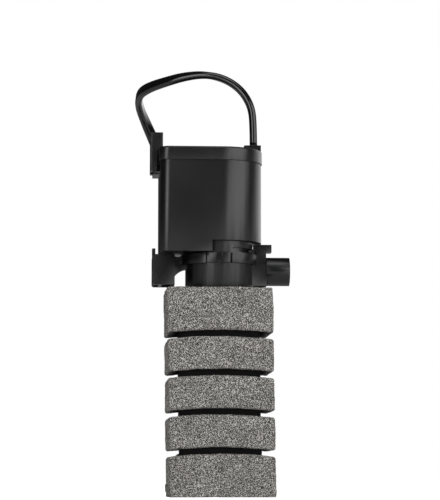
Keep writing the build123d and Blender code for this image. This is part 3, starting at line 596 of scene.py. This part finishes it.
def makeSponge():
    low, high = [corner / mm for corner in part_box("filter_sponge")]
    width, depth, height = high.x - low.x, high.y - low.y, high.z - low.z
    count = round(2 * (width + depth) / sponge["step"])
    outline = roundedOutline(width, depth, sponge["corner"], count)
    profile = spongeProfile(height)
    rows = []  # (points, weight of the painted shade in the grooves and the bore)
    bore = [Vector((p.x, p.y)).normalized() * sponge["boreRadius"] for p in outline]

    def arched(x, z):  # the rings rise a little at mid-width, and the block leans
        held = min(1.0, z / sponge["archFade"], (height - z) / sponge["archFade"])
        return z - sponge["arch"] * held * (2 * x / width) ** 2 + sponge["archLift"] * sponge["arch"] * held

    def row(shape, z, cut, lean=True):
        if not lean:
            rows.append(([Vector((p.x, p.y, z)) for p in shape], cut))
            return
        shift = sponge["lean"] * (0.5 - z / height) + sponge["offset"]
        rows.append(([Vector((p.x * sponge["slim"] + shift, p.y, arched(p.x, z))) for p in shape], cut))

    rim = profile[0].x
    for share in (0.25, 0.5, 0.75):  # underside
        row([p * share * (1 - 2 * rim / width) for p in outline], 0.0, 0.0)
    for inset, level in profile:
        # painted shade: darker the further a point lies into a groove
        cut = min(1.0, inset / sponge["grooveDepth"] * sponge["cutShade"])
        shape = [Vector((p.x * (1 - 2 * inset / width), p.y * (1 - 2 * inset / depth))) for p in outline]
        row(shape, level, cut if sponge["lip"] < inset else 0.0)
    top = rows[-1][0]
    across = round((depth / 2 - sponge["boreRadius"]) / sponge["step"])
    for k in range(1, across + 1):
        share = k / across
        rows.append(([p.lerp(Vector((q.x, q.y, height)), share) for p, q in zip(top, bore)], 0.0))
    # painted shade deepening row by row down the bore
    for k in range(1, sponge["boreRows"] + 1):
        level = height + (sponge["boreFloor"] - height) * k / sponge["boreRows"]
        row(bore, level, min(1.0, 0.3 + k / 4), lean=False)

    vertices = [p * mm for points, cut in rows for p in points]
    faces = []
    for r in range(len(rows) - 1):
        for j in range(count):
            n = (j + 1) % count
            faces.append((r * count + j, r * count + n, (r + 1) * count + n, (r + 1) * count + j))
    for ring, level, flip in ((0, 0.0, True), (len(rows) - 1, sponge["boreFloor"], False)):
        vertices.append(Vector((0, 0, level)) * mm)
        hub = len(vertices) - 1
        for j in range(count):
            n = (j + 1) % count
            edge = (ring * count + j, ring * count + n)
            faces.append((edge[1], edge[0], hub) if flip else (edge[0], edge[1], hub))
    mesh = bpy.data.meshes.new("filterSponge")
    mesh.from_pydata(vertices, [], faces)
    # the painted shade weights, stored per point for the foam's colour
    paintedShadeData = mesh.attributes.new("paintedShadeWeight", "FLOAT", "POINT")
    for k, (points, cut) in enumerate(rows):
        for j in range(count):
            paintedShadeData.data[k * count + j].value = cut
    # the bore floor's centre gets full painted shade
    paintedShadeData.data[len(vertices) - 1].value = 1.0
    mesh.shade_smooth()
    piece = applyNodes(newPiece("filterSponge", mesh), foamRelief(filterFoam()), {
        "Swell": sponge["swell"] * mm, "Swell size": sponge["swellSize"] * mm,
        "Pore depth": sponge["poreDepth"] * mm, "Pore size": sponge["pore"] * mm, "Seed": 0.0,
    })
    for vertex in piece.data.vertices:  # it stands on the floor
        vertex.co.z = max(vertex.co.z, 0.0)
    settle(piece, "sponge", "foam", "filter_sponge")
    print("sponge ready:", len(piece.data.polygons), "faces")
    return piece


makeSponge()


# Shells: copies of the moulded parts with their edges broken as a mould leaves them.
shells = {
    # node: (piece name, body, slot, material, edge radius in mm)
    "motor_housing": ("motorHousing", "pump_body", "black_abs", blackAbs, 0.30),
    "housing_lid": ("housingLid", "pump_body", "black_abs", blackAbs, 0.35),
    "pump_chamber": ("pumpChamber", "chamber", "black_abs", chamberAbs, 0.22),
    "upper_cup_holder": ("upperCupHolder", "upper_holder", "black_abs", blackAbs, 0.20),
    "cord_gland": ("cordGland", "pump_body", "black_rubber", blackRubber, 0.30),
    "plug_body": ("plugBody", "sponge", "plug_pvc", plugPvc, 0.40),
    "strainer_cap": ("strainerCap", "chamber", "black_abs", chamberAbs, 0.25),
}
sharpAngle = 32.0  # degrees, from which an edge is broken
sameSpot = 0.004  # corners nearer than this are one, in mm


def softenedShell(node, name, body, slot, material, radius):
    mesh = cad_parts[node].data.copy()
    mesh.name = name
    shape = bmesh.new()
    shape.from_mesh(mesh)
    bmesh.ops.remove_doubles(shape, verts=shape.verts, dist=sameSpot * mm)
    bmesh.ops.dissolve_limit(shape, angle_limit=radians(0.5), verts=shape.verts, edges=shape.edges)
    for face in shape.faces:
        face.smooth = True
    shape.to_mesh(mesh)
    shape.free()
    mesh.materials.clear()
    mesh.materials.append(material)
    piece = newPiece(name, mesh)
    edge = piece.modifiers.new("brokenEdge", "BEVEL")
    edge.width = radius * mm
    edge.segments = 3
    edge.limit_method = "ANGLE"
    edge.angle_limit = radians(sharpAngle)
    edge.use_clamp_overlap = True
    edge.harden_normals = True
    return settle(piece, body, slot, node)


shellPieces = {node: softenedShell(node, *look) for node, look in shells.items()}
print("shells ready:", len(shellPieces))

# The web that joins the lower cup holder to the collar, up to the collar's rim.
collarWeb = {
    "outer": -19.7, "inner": -15.9, "width": 6.0, "foot": 98.1, "head": 101.1,
    "sag": 0.7, "edge": 0.2, "steps": 8,
}


def makeCollarWeb():
    top, side = [], collarWeb["width"] / 2
    for k in range(collarWeb["steps"] + 1):  # its rim dips a little between its ends
        share = k / collarWeb["steps"]
        x = collarWeb["outer"] + (collarWeb["inner"] - collarWeb["outer"]) * share
        top.append((x, collarWeb["head"] - collarWeb["sag"] * sin(pi * share)))
    section = [(collarWeb["outer"], collarWeb["foot"]), (collarWeb["inner"], collarWeb["foot"])] + top[::-1]
    shape = bmesh.new()
    near = [shape.verts.new((x * mm, -side * mm, z * mm)) for x, z in section]
    far = [shape.verts.new((x * mm, side * mm, z * mm)) for x, z in section]
    shape.faces.new(near)
    shape.faces.new(far[::-1])
    for k in range(len(section)):
        n = (k + 1) % len(section)
        shape.faces.new((near[k], far[k], far[n], near[n]))
    bmesh.ops.recalc_face_normals(shape, faces=shape.faces)
    mesh = bpy.data.meshes.new("collarWeb")
    shape.to_mesh(mesh)
    shape.free()
    mesh.materials.append(chamberAbs)
    piece = newPiece("collarWeb", mesh)
    bevel = piece.modifiers.new("brokenEdges", "BEVEL")
    bevel.width, bevel.segments, bevel.limit_method = collarWeb["edge"] * mm, 3, "ANGLE"
    bevel.angle_limit = radians(sharpAngle)
    return settle(piece, "chamber", "black_abs")


makeCollarWeb()

# The stator's sheets and the coil's turns are single shapes repeated along a line.
stator = {"sheet": 0.50, "gap": 0.03}
coil = {"wire": 0.34, "pitch": 0.38, "round": 1.5, "sides": 6, "outline": 48}


def repeatedAlong(name, material):  # instances of the given mesh in a row
    tree = bpy.data.node_groups.new(name, "GeometryNodeTree")
    tree.interface.new_socket("Geometry", in_out="INPUT", socket_type="NodeSocketGeometry")
    for label, kind in (("Start", "Vector"), ("Step", "Vector"), ("Count", "Int")):
        tree.interface.new_socket(label, in_out="INPUT", socket_type="NodeSocket" + kind)
    tree.interface.new_socket("Geometry", in_out="OUTPUT", socket_type="NodeSocketGeometry")
    given = addNode(tree, "NodeGroupInput").outputs
    row = addNode(tree, "GeometryNodeMeshLine", {"mode": "OFFSET"}, {
        "Count": given["Count"], "Start Location": given["Start"], "Offset": given["Step"],
    })
    copies = addNode(tree, "GeometryNodeInstanceOnPoints", None, {
        "Points": row.outputs["Mesh"], "Instance": given["Geometry"],
    })
    real = addNode(tree, "GeometryNodeRealizeInstances", None, {"Geometry": copies.outputs["Instances"]})
    finish = addNode(tree, "GeometryNodeSetMaterial", None, {
        "Geometry": real.outputs["Geometry"], "Material": material,
    })
    addNode(tree, "NodeGroupOutput", None, {"Geometry": finish.outputs["Geometry"]})
    return tree


def makeStator():  # the core's plan, cut from its lowest face, as a stack of separate sheets
    low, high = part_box("stator_core")
    shape = bmesh.new()
    shape.from_mesh(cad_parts["stator_core"].data)
    bmesh.ops.remove_doubles(shape, verts=shape.verts, dist=sameSpot * mm)
    upper = [face for face in shape.faces if face.calc_center_median().z > low.z + 0.01 * mm]
    bmesh.ops.delete(shape, geom=upper, context="FACES")
    bmesh.ops.dissolve_limit(shape, angle_limit=radians(1), verts=shape.verts, edges=shape.edges)
    walls = bmesh.ops.extrude_face_region(shape, geom=shape.faces[:])
    raised = [item for item in walls["geom"] if isinstance(item, bmesh.types.BMVert)]
    bmesh.ops.translate(shape, vec=(0, 0, (stator["sheet"] - stator["gap"]) * mm), verts=raised)
    bmesh.ops.translate(shape, vec=(0, 0, -low.z), verts=shape.verts)
    bmesh.ops.recalc_face_normals(shape, faces=shape.faces)
    mesh = bpy.data.meshes.new("statorCore")
    shape.to_mesh(mesh)
    shape.free()
    count = round((high.z - low.z) / (stator["sheet"] * mm))
    piece = newPiece("statorCore", mesh)
    applyNodes(piece, repeatedAlong("coreSheets", siliconSteel), {
        "Start": (0.0, 0.0, low.z), "Step": (0.0, 0.0, stator["sheet"] * mm), "Count": count,
    })
    return settle(piece, "pump_body", "core_steel", "stator_core")


def makeCoil():  # the outer layer of turns only, each a closed ring; nothing is drawn beneath it
    low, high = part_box("coil_winding")
    radius = coil["wire"] / 2 * mm
    middle = (low + high) / 2
    across, tall = high.x - low.x - 2 * radius, high.z - low.z - 2 * radius
    outline = roundedOutline(across, tall, coil["round"] * mm, coil["outline"])
    sides = coil["sides"]
    vertices, faces = [], []
    for k, point in enumerate(outline):
        ahead, behind = outline[(k + 1) % len(outline)], outline[k - 1]
        outward = Vector(((ahead - behind).y, -(ahead - behind).x)).normalized()
        for j in range(sides):
            turn = 2 * pi * j / sides
            place = point + outward * radius * cos(turn)
            vertices.append((middle.x + place.x, radius * sin(turn), middle.z + place.y))
    for k in range(len(outline)):
        n = (k + 1) % len(outline)
        for j in range(sides):
            i = (j + 1) % sides
            faces.append((k * sides + j, n * sides + j, n * sides + i, k * sides + i))
    mesh = bpy.data.meshes.new("coilWinding")
    mesh.from_pydata(vertices, [], faces)
    shape = bmesh.new()
    shape.from_mesh(mesh)
    bmesh.ops.recalc_face_normals(shape, faces=shape.faces)
    shape.to_mesh(mesh)
    shape.free()
    mesh.shade_smooth()
    pitch = coil["pitch"] * mm
    count = int((high.y - low.y - 2 * radius) / pitch) + 1
    piece = newPiece("coilWinding", mesh)
    first = (low.y + high.y - (count - 1) * pitch) / 2
    applyNodes(piece, repeatedAlong("coilTurns", enamelledCopper), {
        "Start": (0.0, first, 0.0), "Step": (0.0, pitch, 0.0), "Count": count,
    })
    return settle(piece, "pump_body", "copper_wire", "coil_winding")


makeStator()
makeCoil()
print("stator and coil ready")

# Parts whose own shape is right keep it, and get their finish.
carried = {
    "hank_tie": tiePvc, "plug_pins": nickelPlate, "coil_bobbin": naturalNylon, "thermal_fuse": fuseCase,
    "coil_terminals": nickelPlate, "lead_wires": leadPvc, "potting_resin": pottingEpoxy, "well_bush": blackRubber,
    "rotor_shaft": aluminaCeramic, "chamber_gasket": blackRubber, "inlet_bush": blackRubber,
    "strainer_tube": chamberAbs, "impeller": acetal, "rotor_magnet": ferrite, "thrust_washers": aluminaCeramic,
}
for node, material in carried.items():
    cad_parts[node].data.materials.clear()
    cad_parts[node].data.materials.append(material)

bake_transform(cordPiece)
